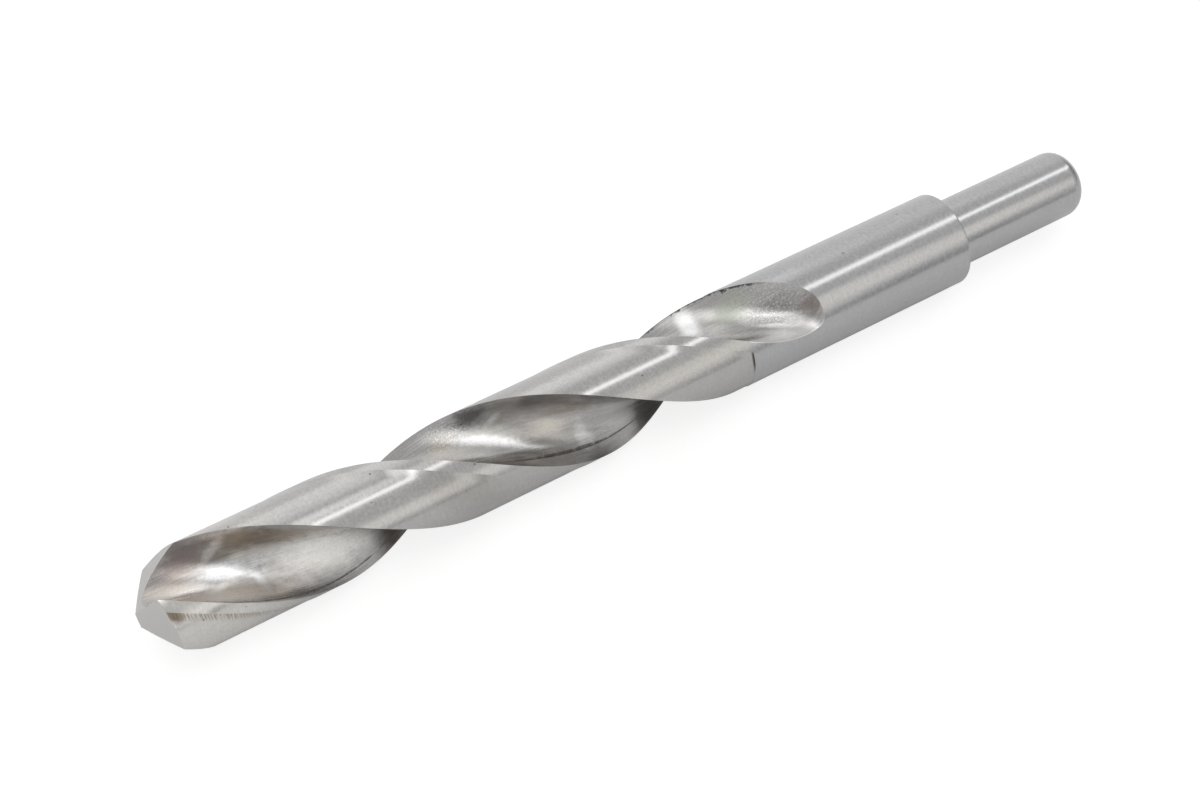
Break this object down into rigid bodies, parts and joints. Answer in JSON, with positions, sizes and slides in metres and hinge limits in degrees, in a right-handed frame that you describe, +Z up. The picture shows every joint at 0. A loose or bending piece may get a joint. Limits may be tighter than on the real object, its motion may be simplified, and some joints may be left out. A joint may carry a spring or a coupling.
{
  "type": "twist drill bit",
  "caption": "Twist drill bit with helical flutes, narrow margins, a thinned point and a reduced round shank, lying on its side.",
  "frame": {"origin": "centre of the flat end of the shank, on the drill's axis", "axes": "+X along the axis, from the point to the shank; +Z up, away from the surface that the drill lies on"},
  "size_m": [0.1913, 0.018, 0.018],
  "materials": {
    "ground_steel": "bright ground high speed steel"
  },
  "bodies": {
    "root": {"twist_drill": "ground_steel"}
  },
  "joints": []
}
